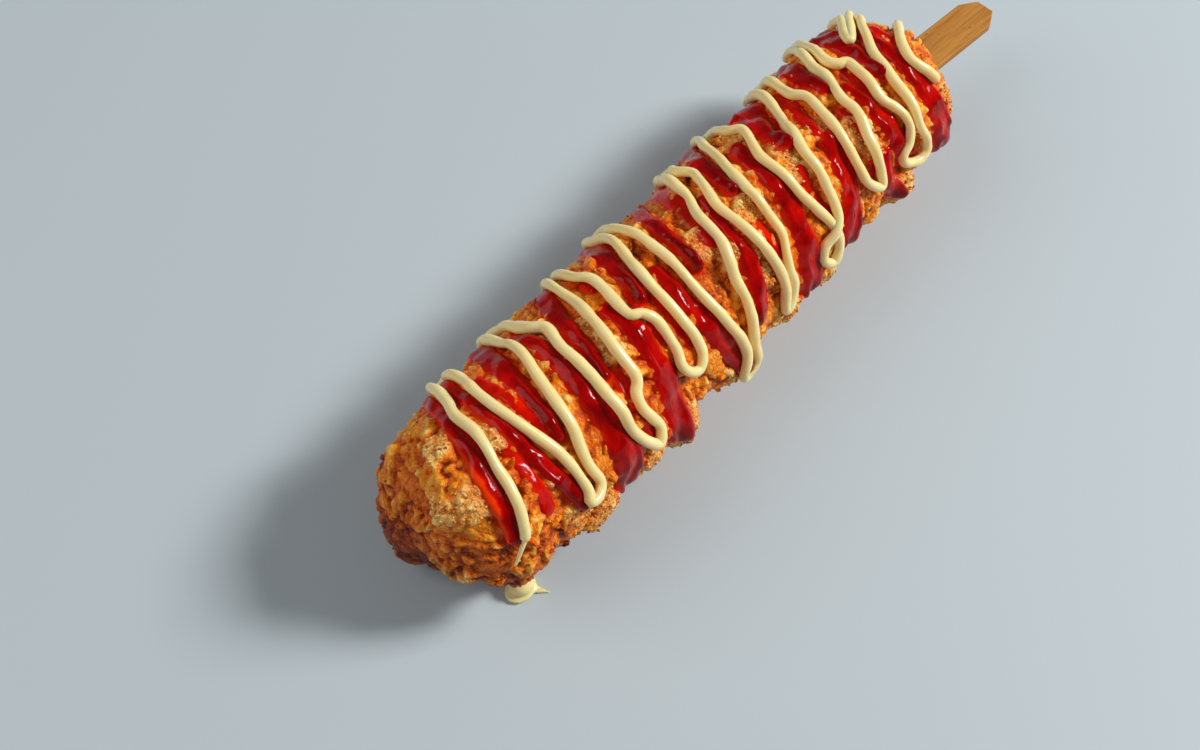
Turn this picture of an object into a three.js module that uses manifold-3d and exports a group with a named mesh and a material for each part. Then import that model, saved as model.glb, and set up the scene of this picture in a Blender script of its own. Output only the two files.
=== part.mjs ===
// A corn dog lying on its side: a sausage in a thick crumb crust, on a flat wooden stick,
// with streaks of ketchup and one long zigzag line of mayonnaise over it.
// Millimetres, +Z up, +X from the rounded tip towards the stick. The origin is the middle
// of the flat underside. Stations run along the body from the tip. Angles are in degrees
// round the body's axis, 0 on top and growing towards -Y.

import * as THREE from "three";
import { mergeVertices } from "three/addons/utils/BufferGeometryUtils.js";
import Module from "manifold-3d";

// The crusted body.
const BODY_LENGTH = 202;
const TIP_RADIUS = 23.7;
const NECK_RADIUS = 22.6;
const TIP_CAP_LENGTH = 28;
const TIP_CAP_POWER = 3.0;
const NECK_CAP_LENGTH = 15;
const NECK_CAP_POWER = 2.4;
const AXIS_HEIGHT = 22.5;
const SIDE_RINGS = 44;
const CAP_RINGS = 5;
const RING_SIDES = 40;

// The crust's relief: a long slow swell, rounded knobs and sharper crags.
const SWELL_HEIGHT = 0.4;
const SWELL_LENGTH = 46;
const RELIEF_SEED = 20711;
const KNOBS = { count: 130, reach: [5, 9], height: [0.5, 1.6] };
const CRAGS = { count: 90, reach: [3.2, 5.0], height: [1.0, 2.2] };

// The largest lumps, and the hollows with a height under zero, each in its own place.
const LUMPS = [
  { station: 3, angle: -134, reach: 13, height: 3.6 },
  { station: 4, angle: 130, reach: 12, height: -2.6 },
  { station: 9, angle: 16, reach: 9, height: 2.2 },
  { station: 13, angle: 96, reach: 6, height: 1.6 },
  { station: 18, angle: 112, reach: 8, height: -2.4 },
  { station: 38, angle: 106, reach: 7, height: 1.6 },
  { station: 56, angle: 106, reach: 7, height: 2.4 },
  { station: 68, angle: 108, reach: 8, height: 3.4 },
  { station: 78, angle: 110, reach: 5, height: -1.6 },
  { station: 91, angle: 106, reach: 9, height: 2.8 },
  { station: 99, angle: 18, reach: 8, height: 1.6 },
  { station: 115, angle: 108, reach: 7, height: 2.0 },
  { station: 134, angle: 108, reach: 6, height: 1.8 },
  { station: 137, angle: 14, reach: 8, height: 1.6 },
  { station: 156, angle: 34, reach: 7, height: 1.4 },
  { station: 170, angle: 108, reach: 7, height: 2.0 },
];

// The mayonnaise: one zigzag line. Each pass crosses the body at seven angles, and its
// stations are listed there; odd passes run up over the back, even ones down the front.
const MAYO_RADIUS = 1.5;
const MAYO_LIFT = 0.9;
const MAYO_STEP = 5.5;
const MAYO_SIDES = 5;
const PASS_ANGLES = [-54, -36, -18, 0, 18, 36, 54];
const PASS_STATIONS = [
  [28, 25.5, 23, 21.5, 19, 18, 15],
  [34, 32, 30.5, 30, 31.5, 32.5, 33],
  [48.5, 47.5, 45.5, 43, 41, 39.5, 37.5],
  [53, 53, 55.5, 53, 52, 51.5, 52],
  [69.5, 67.5, 66, 63.5, 61.5, 60.5, 57],
  [75.5, 73, 73, 71, 74, 74.5, 73],
  [90, 88, 83.5, 81, 80, 80, 81],
  [94, 92.5, 91, 90, 89.5, 89, 90.5],
  [116, 112.5, 110, 106, 103, 100, 99],
  [118.5, 118, 115.5, 112, 111, 111.5, 112.5],
  [131, 126.5, 123.5, 121, 119.5, 119, 117.5],
  [139.5, 138, 136, 131.5, 131, 131.5, 134],
  [157.5, 153.5, 147, 144.5, 141, 139.5, 138.5],
  [163, 159, 156.5, 157, 154.5, 152.5, 152.5],
  [179, 173, 167.5, 164.5, 162, 161, 159],
  [182, 177.5, 172.5, 174.5, 172, 173, 174.5],
  [193.5, 191.5, 188.5, 184.5, 180.5, 180, 178.5],
  [195.5, 196, 195.5, 193, 188.5, 189, 192.5],
];
const BACK_TURN_ANGLE = -65;
const FRONT_TURNS = [
  [35, 86],
  [58.5, 93],
  [77, 67],
  [96, 94],
  [116, 91],
  [135, 92],
  [158.5, 79],
  [176, 79],
];

// The drop of mayonnaise at the foot of the tip, and the thin trail that runs down to it.
const DROP_CENTRE = { x: -88, y: -16.8 };
const DROP_SIZE = { length: 8.4, width: 7.4, height: 3.6 };
const DROP_SIDES = 10;
const DROP_RINGS = 6;
const TRAIL_RADIUS = 1.3;
const TRAIL_ROUTE = [
  [12, 64],
  [9.5, 84],
  [11, 106],
  [13, 126],
];

// The ketchup: each streak has its stations at the back end, middle and front end, its
// angles at both ends and its widths at both ends.
const KETCHUP_HEIGHT = 1.2;
const KETCHUP_SPREAD = 1.3;
const KETCHUP_STREAKS = [
  { stations: [25, 19, 13], angles: [-60, 56], widths: [3, 5] },
  { stations: [32, 27, 31], angles: [-66, 71], widths: [3, 4.5] },
  { stations: [43, 38.5, 35.5], angles: [-62, 31], widths: [6, 3] },
  { stations: [50, 47.5, 49], angles: [-40, 92], widths: [3, 6] },
  { stations: [64, 58, 54], angles: [-60, 25], widths: [4, 3] },
  { stations: [67, 68, 67], angles: [2, 96], widths: [6, 7] },
  { stations: [85, 79, 75], angles: [-66, 8], widths: [7, 3] },
  { stations: [85, 85, 92], angles: [4, 96], widths: [4, 7] },
  { stations: [105, 97, 92.5], angles: [-66, 19], widths: [4.5, 3] },
  { stations: [109, 105, 102], angles: [-8, 76], widths: [3, 6] },
  { stations: [127, 119, 115.5], angles: [-66, 0], widths: [6.5, 3] },
  { stations: [128, 124.5, 124], angles: [-16, 96], widths: [4, 8] },
  { stations: [148, 141, 136], angles: [-64, 0], widths: [9, 4] },
  { stations: [148.5, 144.5, 144], angles: [22, 94], widths: [5, 8] },
  { stations: [165, 162, 160], angles: [-56, -8], widths: [7, 4] },
  { stations: [166, 167, 170], angles: [6, 71], widths: [4, 8] },
  { stations: [162.5, 162.5, 165], angles: [60, 95], widths: [5, 5] },
  { stations: [183, 178, 177], angles: [-58, 13], widths: [8, 4] },
  { stations: [186, 185, 191], angles: [-20, 96], widths: [3, 6] },
];

// The flat stick, a little out of line with the body, and the slot that it fills.
const STICK_WIDTH = 12.2;
const STICK_THICKNESS = 2.6;
const STICK_CORNER = { along: 5.4, across: 3.2 };
const STICK_YAW = -6.2;
const STICK_END = { x: 140.2, y: -6.0 };
const STICK_TOP = 24.0;
const STICK_LENGTH = 150;
const SLOT_GAP = 0.3;

// Points of one piece closer than the first are one point, and edges shorter than the second
// are merged away where the pieces were joined.
const SAME_POINT = 1e-5;
const SHORTEST_EDGE = 0.15;

const wasm = await Module();
wasm.setup();

const MIDDLE = BODY_LENGTH / 2;
const radians = THREE.MathUtils.degToRad;

// A seeded row of numbers from 0 to 1.
function makeDraw(seed) {
  const modulus = 2147483647;
  const multiplier = 16807;
  let state = seed;
  return () => {
    state = (state * multiplier) % modulus;
    return state / modulus;
  };
}

// The smooth body's radius at a station: a slow taper with a blunt cap at each end.
function radiusAt(station) {
  const taper = THREE.MathUtils.lerp(TIP_RADIUS, NECK_RADIUS, station / BODY_LENGTH);
  const intoTip = Math.max(0, 1 - station / TIP_CAP_LENGTH);
  const intoNeck = Math.max(0, 1 - (BODY_LENGTH - station) / NECK_CAP_LENGTH);
  const tipCap = (1 - intoTip ** TIP_CAP_POWER) ** (1 / TIP_CAP_POWER);
  const neckCap = (1 - intoNeck ** NECK_CAP_POWER) ** (1 / NECK_CAP_POWER);
  return taper * tipCap * neckCap;
}

function smoothPoint(station, angle) {
  const radius = radiusAt(station);
  return new THREE.Vector3(
    station - MIDDLE,
    -radius * Math.sin(angle),
    AXIS_HEIGHT + radius * Math.cos(angle),
  );
}

// Outwards from the nearest point of the spine, which stops short of both caps.
function outwardAt(point) {
  const start = TIP_CAP_LENGTH - MIDDLE;
  const end = MIDDLE - NECK_CAP_LENGTH;
  const spine = new THREE.Vector3(THREE.MathUtils.clamp(point.x, start, end), 0, AXIS_HEIGHT);
  return point.clone().sub(spine).normalize();
}

function scatter(kind, draw) {
  const [leastReach, mostReach] = kind.reach;
  const [leastHeight, mostHeight] = kind.height;
  return Array.from({ length: kind.count }, () => ({
    centre: smoothPoint(draw() * BODY_LENGTH, draw() * 2 * Math.PI),
    reach: leastReach + draw() * (mostReach - leastReach),
    height: leastHeight + draw() * (mostHeight - leastHeight),
  }));
}

const draw = makeDraw(RELIEF_SEED);
const RELIEF = [...scatter(KNOBS, draw), ...scatter(CRAGS, draw)];
const PLACED_RELIEF = LUMPS.map(({ station, angle, reach, height }) => ({
  centre: smoothPoint(station, radians(angle)),
  reach,
  height,
}));

// A bump is highest over its centre and ends at its reach.
function bumpHeight({ centre, reach, height }, point) {
  return height * Math.max(0, 1 - point.distanceToSquared(centre) / reach ** 2);
}

// How far a streak of ketchup stands up at a place. Past its rounded ends there is none.
function ketchupHeight({ stations, angles, widths }, station, angle) {
  const [backAngle, frontAngle] = angles.map(radians);
  const along = (angle - backAngle) / (frontAngle - backAngle);
  const within = THREE.MathUtils.clamp(along, 0, 1);
  const [back, middle, front] = stations;
  const bow = 2 * middle - (back + front) / 2;
  const centre = (1 - within) ** 2 * back + 2 * within * (1 - within) * bow + within ** 2 * front;
  const beyond = (along - within) * (frontAngle - backAngle) * radiusAt(station);
  const halfWidth = (THREE.MathUtils.lerp(widths[0], widths[1], within) / 2) * KETCHUP_SPREAD;
  const away = Math.hypot(station - centre, beyond) / halfWidth;
  return KETCHUP_HEIGHT * Math.sqrt(Math.max(0, 1 - away ** 2));
}

// How far the crust stands off the smooth body. Where scattered bumps meet, the highest
// one shows, and the placed lumps and the ketchup add to it.
function reliefAt(point, angle) {
  const swell = SWELL_HEIGHT * Math.sin((2 * Math.PI * point.x) / SWELL_LENGTH + 2 * angle);
  const scattered = Math.max(...RELIEF.map((bump) => bumpHeight(bump, point)));
  const placed = PLACED_RELIEF.reduce((sum, lump) => sum + bumpHeight(lump, point), 0);
  const station = point.x + MIDDLE;
  const turned = Math.atan2(Math.sin(angle), Math.cos(angle));
  const ketchup = KETCHUP_STREAKS.map((streak) => ketchupHeight(streak, station, turned));
  return swell + scattered + placed + Math.max(...ketchup);
}

function crustPoint(station, angle, lift = 0) {
  const point = smoothPoint(station, angle);
  const height = reliefAt(point, angle) + lift;
  return point.addScaledVector(outwardAt(point), height);
}

// Ring stations from tip to neck, closer together where the caps curve.
function ringStations() {
  const stations = [];
  for (let ring = 1; ring <= CAP_RINGS; ring += 1) {
    const turn = (ring / CAP_RINGS) * (Math.PI / 2);
    stations.push(TIP_CAP_LENGTH * (1 - Math.cos(turn) ** (2 / TIP_CAP_POWER)));
  }
  const sideLength = BODY_LENGTH - TIP_CAP_LENGTH - NECK_CAP_LENGTH;
  for (let ring = 1; ring < SIDE_RINGS; ring += 1) {
    stations.push(TIP_CAP_LENGTH + (ring / SIDE_RINGS) * sideLength);
  }
  for (let ring = CAP_RINGS; ring >= 1; ring -= 1) {
    const turn = (ring / CAP_RINGS) * (Math.PI / 2);
    stations.push(BODY_LENGTH - NECK_CAP_LENGTH * (1 - Math.cos(turn) ** (2 / NECK_CAP_POWER)));
  }
  return stations;
}

// A closed skin over rings of points, with a pole point at each end.
function closedSkin(firstPole, rings, lastPole) {
  const sides = rings[0].length;
  const points = [firstPole, ...rings.flat(), lastPole];
  const faces = [];
  for (let side = 0; side < sides; side += 1) {
    const next = (side + 1) % sides;
    faces.push(0, 1 + next, 1 + side);
    for (let ring = 0; ring < rings.length - 1; ring += 1) {
      const here = 1 + ring * sides;
      const beyond = here + sides;
      faces.push(here + side, here + next, beyond + side);
      faces.push(here + next, beyond + next, beyond + side);
    }
    const last = 1 + (rings.length - 1) * sides;
    faces.push(points.length - 1, last + side, last + next);
  }
  const geometry = new THREE.BufferGeometry().setFromPoints(points);
  geometry.setIndex(faces);
  return geometry;
}

function crustGeometry() {
  const rings = ringStations().map((station) =>
    Array.from({ length: RING_SIDES }, (_, side) =>
      crustPoint(station, (side / RING_SIDES) * 2 * Math.PI),
    ),
  );
  return closedSkin(crustPoint(0, 0), rings, crustPoint(BODY_LENGTH, 0));
}

// A strand of sauce along a route. Each stop has its point, the way out from the body, and
// the strand's half width and half height there. Both ends are rounded off.
function strandGeometry(stops, sides) {
  const tangents = stops.map((_, index) => {
    const before = stops[Math.max(0, index - 1)].point;
    const after = stops[Math.min(stops.length - 1, index + 1)].point;
    return after.clone().sub(before).normalize();
  });
  const rings = stops.map(({ point, outward, halfWidth, halfHeight }, index) => {
    const across = new THREE.Vector3().crossVectors(outward, tangents[index]).normalize();
    const up = new THREE.Vector3().crossVectors(tangents[index], across);
    return Array.from({ length: sides }, (_, side) => {
      const turn = (side / sides) * 2 * Math.PI;
      return point.clone()
        .addScaledVector(across, halfWidth * Math.cos(turn))
        .addScaledVector(up, halfHeight * Math.sin(turn));
    });
  });
  const poleAt = (index, way) =>
    stops[index].point.clone().addScaledVector(tangents[index], way * stops[index].halfHeight);
  return closedSkin(poleAt(0, -1), rings, poleAt(stops.length - 1, 1));
}

// Even stops along a curve through the given stations and angles.
function routeStops(places, step, halfWidthAt, halfHeight, lift) {
  const through = places.map(([station, angle]) => crustPoint(station, radians(angle), lift));
  const length = new THREE.CatmullRomCurve3(through).getLength();
  const flat = new THREE.CatmullRomCurve3(
    places.map(([station, angle]) => new THREE.Vector3(station, angle, 0)),
  );
  const count = Math.max(2, Math.round(length / step));
  return Array.from({ length: count + 1 }, (_, index) => {
    const along = index / count;
    const { x: station, y: angle } = flat.getPoint(along);
    const point = crustPoint(station, radians(angle), lift);
    return { point, outward: outwardAt(point), halfWidth: halfWidthAt(along), halfHeight };
  });
}

// The zigzag's places in order, as one list for each pass with the turn that follows it.
function zigzagPasses() {
  return PASS_STATIONS.map((stations, pass) => {
    const places = stations.map((station, index) => [station, PASS_ANGLES[index]]);
    const runsUp = pass % 2 === 0;
    const ordered = runsUp ? places.reverse() : places;
    if (pass === PASS_STATIONS.length - 1) {
      return ordered;
    }
    const nextStation = PASS_STATIONS[pass + 1][0];
    const backTurn = [(stations[0] + nextStation) / 2, BACK_TURN_ANGLE];
    const turn = runsUp ? backTurn : FRONT_TURNS[(pass - 1) / 2];
    return [...ordered, turn];
  });
}

// One strand from each pass to the next, so that every joint lies in a straight stretch.
function mayoGeometries() {
  const passes = zigzagPasses();
  const joint = Math.floor(PASS_ANGLES.length / 2);
  return passes.map((pass, index) => {
    const fromJoint = index === 0 ? pass : pass.slice(joint);
    const following = passes[index + 1];
    const places = following ? [...fromJoint, ...following.slice(0, joint + 1)] : fromJoint;
    const stops = routeStops(places, MAYO_STEP, () => MAYO_RADIUS, MAYO_RADIUS, MAYO_LIFT);
    return strandGeometry(stops, MAYO_SIDES);
  });
}

function trailGeometry() {
  const stops = routeStops(TRAIL_ROUTE, MAYO_STEP, () => TRAIL_RADIUS, TRAIL_RADIUS, MAYO_LIFT);
  const foot = new THREE.Vector3(DROP_CENTRE.x, DROP_CENTRE.y, DROP_SIZE.height / 2);
  const last = stops[stops.length - 1];
  stops.push({ ...last, point: foot });
  return strandGeometry(stops, MAYO_SIDES);
}

function dropGeometry() {
  const geometry = new THREE.SphereGeometry(0.5, DROP_SIDES, DROP_RINGS);
  geometry.rotateX(Math.PI / 2);
  geometry.scale(DROP_SIZE.length, DROP_SIZE.width, DROP_SIZE.height);
  geometry.translate(DROP_CENTRE.x, DROP_CENTRE.y, DROP_SIZE.height / 2);
  return geometry;
}

// The stick, or with a gap the slot round it, lying along +X up to its end.
function stickGeometry(gap) {
  const half = STICK_WIDTH / 2 + gap;
  const end = gap;
  const start = -STICK_LENGTH - gap;
  const { along, across } = STICK_CORNER;
  const outline = new THREE.Shape();
  outline.moveTo(start, -half);
  outline.lineTo(end - along, -half);
  outline.lineTo(end, -half + across);
  outline.lineTo(end, half - across);
  outline.lineTo(end - along, half);
  outline.lineTo(start, half);
  outline.closePath();
  const depth = STICK_THICKNESS + 2 * gap;
  const geometry = new THREE.ExtrudeGeometry(outline, { depth, bevelEnabled: false });
  geometry.translate(0, 0, -STICK_THICKNESS - gap);
  return geometry;
}

function placeStick(object) {
  object.rotation.z = radians(STICK_YAW);
  object.position.set(STICK_END.x, STICK_END.y, STICK_TOP);
  object.updateMatrix();
  return object;
}

function groundGeometry() {
  const size = 2 * BODY_LENGTH;
  const geometry = new THREE.BoxGeometry(size, size, size);
  geometry.translate(0, 0, -size / 2);
  return geometry;
}

function toSolid(geometry) {
  const bare = geometry.clone();
  bare.deleteAttribute("normal");
  bare.deleteAttribute("uv");
  const merged = mergeVertices(bare, SAME_POINT);
  return new wasm.Manifold(new wasm.Mesh({
    numProp: 3,
    vertProperties: new Float32Array(merged.attributes.position.array),
    triVerts: new Uint32Array(merged.index.array),
  }));
}

function toGeometry(solid) {
  const mesh = solid.getMesh();
  const geometry = new THREE.BufferGeometry();
  geometry.setAttribute("position", new THREE.BufferAttribute(mesh.vertProperties, 3));
  geometry.setIndex(new THREE.BufferAttribute(mesh.triVerts, 1));
  geometry.computeVertexNormals();
  return geometry;
}

// The largest shell alone: small pockets sealed under the sauce are filled by leaving them out.
function outerShell(solid) {
  const shells = solid.decompose();
  return shells.reduce((kept, shell) => (shell.volume() > kept.volume() ? shell : kept));
}

// The crust with all its sauce, cut flat underneath and slotted for the stick.
function crustedDog() {
  const slot = placeStick(new THREE.Object3D());
  const slotGeometry = stickGeometry(SLOT_GAP).applyMatrix4(slot.matrix);
  const pieces = [...mayoGeometries(), trailGeometry(), dropGeometry()];
  let solid = toSolid(crustGeometry());
  for (const piece of pieces) {
    solid = solid.add(toSolid(piece));
  }
  solid = solid.subtract(toSolid(groundGeometry())).subtract(toSolid(slotGeometry));
  solid = outerShell(solid.simplify(SHORTEST_EDGE));
  const material = new THREE.MeshStandardMaterial({ color: "#b9702c", roughness: 0.6 });
  const mesh = new THREE.Mesh(toGeometry(solid), material);
  mesh.name = "crusted_dog";
  return mesh;
}

function stick() {
  const material = new THREE.MeshStandardMaterial({ color: "#c08a4c", roughness: 0.7 });
  const mesh = new THREE.Mesh(stickGeometry(0), material);
  mesh.name = "stick";
  return placeStick(mesh);
}

const cornDog = new THREE.Group();
cornDog.add(crustedDog(), stick());

export default cornDog;
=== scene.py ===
# A corn dog lying on its side: a thick crumb crust on a flat wooden stick, with streaks of
# ketchup and one long zigzag line of mayonnaise. Shapes are worked out in millimetres in the
# frame's axes and written to the meshes in metres. Stations run along the body from the
# rounded tip. Angles go round the body's axis, 0 on top and growing towards -Y.

import math

import bmesh
import bpy
import numpy as np
from mathutils import Matrix, Vector


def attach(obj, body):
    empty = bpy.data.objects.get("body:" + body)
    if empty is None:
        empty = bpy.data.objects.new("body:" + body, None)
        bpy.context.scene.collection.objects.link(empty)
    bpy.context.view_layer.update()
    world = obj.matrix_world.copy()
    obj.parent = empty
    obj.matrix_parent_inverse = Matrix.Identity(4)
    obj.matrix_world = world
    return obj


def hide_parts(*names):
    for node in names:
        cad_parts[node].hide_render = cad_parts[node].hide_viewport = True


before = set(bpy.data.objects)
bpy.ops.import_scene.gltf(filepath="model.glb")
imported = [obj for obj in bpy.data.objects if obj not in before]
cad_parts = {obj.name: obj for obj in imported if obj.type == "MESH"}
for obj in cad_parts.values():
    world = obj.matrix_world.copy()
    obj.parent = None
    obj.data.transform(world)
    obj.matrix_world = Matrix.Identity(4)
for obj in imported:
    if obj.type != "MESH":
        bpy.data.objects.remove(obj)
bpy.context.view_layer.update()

MM = 0.001

# The crusted body, as the solids have it.
BODY_LENGTH = 202.0
TIP_RADIUS = 23.7
NECK_RADIUS = 22.6
TIP_CAP_LENGTH = 28.0
TIP_CAP_POWER = 3.0
NECK_CAP_LENGTH = 15.0
NECK_CAP_POWER = 2.4
AXIS_HEIGHT = 22.5
MIDDLE = BODY_LENGTH / 2
PROFILE_POINTS = 400

# A seed for each random pattern.
SEEDS = {
    "bend": (11, 21, 31),
    "chunks": 41,
    "rough": 45,
    "nuggets": 51,
    "puffs": 61,
    "patches": 71,
    "heap edges": 75,
    "clods": 81,
    "ketchup edges": 91,
    "ketchup clumps": 93,
    "ketchup ridges": 95,
    "ketchup coat": 97,
    "strand swelling": 101,
    "strand ripples": 105,
    "smears": 111,
    "strand wobble": 121,
    "crags": 911,
    "crumbs": 4207,
}

# The main relief, as the solids have it.
SWELL_HEIGHT = 0.4
SWELL_LENGTH = 46.0
RELIEF_SEED = 20711
KNOBS = {"count": 130, "reach": (5, 9), "height": (0.5, 1.6)}
CRAGS = {"count": 90, "reach": (3.2, 5.0), "height": (1.0, 2.2)}

# The largest lumps and hollows: station, angle, reach and height.
LUMPS = [
    (3, -134, 13, 3.6),
    (4, 130, 12, -2.6),
    (9, 16, 9, 2.2),
    (13, 96, 6, 1.6),
    (18, 112, 8, -2.4),
    (38, 106, 7, 1.6),
    (56, 106, 7, 2.4),
    (68, 108, 8, 3.4),
    (78, 110, 5, -1.6),
    (91, 106, 9, 2.8),
    (99, 18, 8, 1.6),
    (115, 108, 7, 2.0),
    (134, 108, 6, 1.8),
    (137, 14, 8, 1.6),
    (156, 34, 7, 1.4),
    (170, 108, 7, 2.0),
]

# Heaps of pale crumbs: station, angle and radius.
HEAPS = [
    (6, 14, 4.5),
    (10, 24, 5.0),
    (14, 32, 4.0),
    (16, 42, 3.5),
    (15, -14, 4.0),
    (24, 6, 4.5),
    (30, 76, 5.0),
    (52, -17, 4.5),
    (60, 0, 4.5),
    (59, 18, 4.0),
    (68, 18, 3.5),
    (97, 12, 5.0),
    (101, 26, 5.0),
    (109, 50, 5.5),
    (116, 14, 5.5),
    (132, -26, 5.0),
    (137, 6, 5.0),
    (135, 22, 4.5),
    (149, 13, 5.0),
    (157, 28, 5.0),
    (158, 42, 5.0),
    (193, 60, 4.5),
    (38, 98, 6.0),
    (56, 98, 6.0),
    (67, 98, 7.0),
    (91, 98, 7.0),
    (113, 100, 6.0),
    (134, 102, 6.0),
    (168, 100, 6.0),
]

# The mayonnaise line as the bottle drew it: station and angle of each place that it passes.
# The long rows cross the top, and the short rows between them are the turns.
MAYO_RADIUS = 1.42
MAYO_LINE = [
    [(13.9, 60), (15.5, 54), (18.1, 36), (19.7, 18), (21.9, 0), (22.8, -18), (25.6, -36), (27.2, -54)],
    [(29.5, -69), (32, -78), (34.5, -69)],
    [(32.2, -54), (31.7, -36), (29.7, -18), (29.1, 0), (30.4, 18), (32.2, 36), (32.7, 54), (32.6, 64)],
    [(31.4, 69.5), (34, 71)],
    [(36.7, 67), (36.4, 54), (38.3, 36), (40, 18), (42, 0), (44.7, -18), (45.6, -36), (46.3, -50)],
    [(47, -68), (49.5, -78), (51.5, -62)],
    [(51.4, -40), (52.4, -27), (54, -20), (53.7, -14), (51.3, 0), (50.8, 18), (49.9, 36), (50, 54)],
    [(51.6, 66), (55.4, 79), (58.4, 72)],
    [(57, 62), (55.7, 52), (56.5, 44), (58.9, 37), (59.7, 18), (61.9, 0), (64.6, -18), (65.8, -36)],
    [(68.2, -54), (71, -72), (73.8, -68)],
    [(71.7, -50), (70.3, -30), (71.8, -18), (70, 0), (69, 12), (71.5, 16.5), (73.3, 26), (73.2, 44)],
    [(72, 54), (73.3, 62), (76.1, 65), (78.9, 59)],
    [(79.5, 50), (79.1, 36), (79.1, 18), (80.2, 0), (83.3, -18), (85.5, -33), (86, -48)],
    [(87.5, -66), (90.5, -77), (93, -66)],
    [(91.8, -54), (89.9, -42), (89.8, -18), (89.3, 0), (88.5, 18), (88, 36), (89.1, 54), (91.1, 72)],
    [(91.9, 84), (89.5, 95), (91, 103), (95, 98)],
    [(95.6, 84), (97.4, 54), (98.2, 36), (101.2, 18), (103.3, 0), (107.9, -16), (109.3, -28), (114, -54)],
    [(117.4, -70), (118.8, -56)],
    [(115, -40), (115.7, -27), (113.9, -18), (109.8, 0), (108.9, 18), (109.1, 36), (110.9, 54)],
    [(111.4, 72), (110.8, 89), (113.3, 87), (115.2, 75)],
    [(114.7, 63), (115.5, 53), (117.8, 38), (117.8, 18), (119.3, 0), (122.6, -18), (126.4, -36)],
    [(130.3, -50), (134, -68), (138.6, -70)],
    [(137.6, -56), (134.3, -42), (132.7, -29), (133.9, -20), (129.5, 0), (128.9, 18), (129.6, 36)],
    [(132.4, 54), (134.4, 68), (134.2, 79), (131.3, 88), (128.2, 82), (129, 73), (132.5, 67)],
    [(136.2, 59), (137, 45), (137.2, 30), (138.2, 15), (141.8, 0), (145.6, -12), (149.3, -27), (152, -40)],
    [(154.5, -60), (158, -74), (160.5, -62)],
    [(157.6, -40), (155.2, -27), (153.8, -17), (154.6, -6), (151.3, 18), (150, 36), (149.8, 54)],
    [(152.7, 66), (155.8, 71)],
    [(156.6, 60), (155.8, 50), (156.4, 36), (159.3, 20), (160, 9), (163.7, -5), (165.4, -18), (170, -36)],
    [(174.6, -50), (177.5, -70), (180, -74), (178.5, -56)],
    [(172.9, -32), (170.2, -18), (170.8, -10), (173, -4), (170, 18), (169.7, 26), (171.1, 36), (172.3, 52)],
    [(170.8, 62), (167.8, 68), (168.6, 75), (173.5, 81), (177.3, 78)],
    [(177, 70), (175.2, 56), (176.8, 36), (178.4, 18), (181.4, 0), (187.6, -17), (192.5, -30)],
    [(196.5, -52), (198, -72), (194.4, -44), (189, -30.5), (184.4, -21.5), (181, -16.5)],
    [(182.8, -23.5), (187.6, -33.5), (192.8, -49), (196.5, -78), (200.6, -62)],
    [(200.6, -20), (197.5, -7), (194.2, 0), (189.6, 9), (186.9, 20), (187.2, 29), (188.8, 38), (189.6, 46)],
]

# Each streak of ketchup has its stations at the back end, middle and front end, its angles
# at both ends and its widths at both ends. Thin films of it lie between the thick streaks.
KETCHUP_HEIGHT = 1.1
FILM_HEIGHT = 0.5
KETCHUP_STREAKS = [
    ((25, 18.7, 12.8), (-60, 56), (3.5, 6)),
    ((32, 27, 31), (-66, 71), (3, 5)),
    ((44, 39, 35.5), (-62, 31), (8, 3.5)),
    ((50, 48, 46.5), (-40, 92), (3.5, 10)),
    ((66.5, 59, 54), (-60, 25), (7, 3.5)),
    ((68, 66.5, 65.5), (2, 96), (6, 8.5)),
    ((87.5, 81, 75.5), (-66, 8), (8.5, 4.5)),
    ((85, 85.3, 92), (4, 96), (4.5, 7)),
    ((105, 97, 92.5), (-66, 19), (5, 3.5)),
    ((109, 105, 101.5), (-8, 76), (3.5, 6)),
    ((129, 121, 116.5), (-66, 0), (8, 4.5)),
    ((129, 125, 124), (-16, 96), (4.5, 8.5)),
    ((150, 143.5, 138), (-64, 2), (13, 7)),
    ((148.5, 145, 142.5), (22, 94), (6, 10)),
    ((168, 163.5, 161), (-56, -6), (8, 6)),
    ((166, 167, 170), (6, 71), (4.5, 8)),
    ((162.5, 162.5, 165), (60, 95), (5, 5.5)),
    ((186, 180.5, 177.5), (-58, 13), (10, 5)),
    ((187, 185.5, 189.5), (-20, 96), (4, 8.5)),
]
KETCHUP_FILMS = [
    ((24, 23.5, 23), (16, 60), (2.5, 4)),
    ((34, 33.5, 34.5), (-30, 24), (3, 3.5)),
    ((56.5, 56, 57), (30, 78), (3, 4)),
    ((72, 71, 70), (-48, -16), (2.5, 2.5)),
    ((73, 72.5, 73), (12, 36), (2.5, 3)),
    ((78, 77.5, 78), (16, 50), (2.5, 3)),
    ((110.5, 106, 100), (-54, 14), (6, 4.5)),
    ((115, 114.5, 115), (30, 52), (3, 3)),
    ((134.5, 134, 136), (22, 60), (2.5, 3)),
    ((153.5, 151, 147), (-30, 12), (5, 3.5)),
    ((158, 157, 156), (14, 60), (2.5, 3.5)),
    ((171, 170.5, 170), (-14, 20), (3.5, 3)),
    ((190.5, 190, 189.5), (-14, 8), (3.5, 3)),
]


# ---------------------------------------------------------------- shape of the body

def make_draw(seed):
    """A seeded row of numbers from 0 to 1."""
    modulus = 2147483647
    multiplier = 16807
    state = seed
    while True:
        state = state * multiplier % modulus
        yield state / modulus


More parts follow.
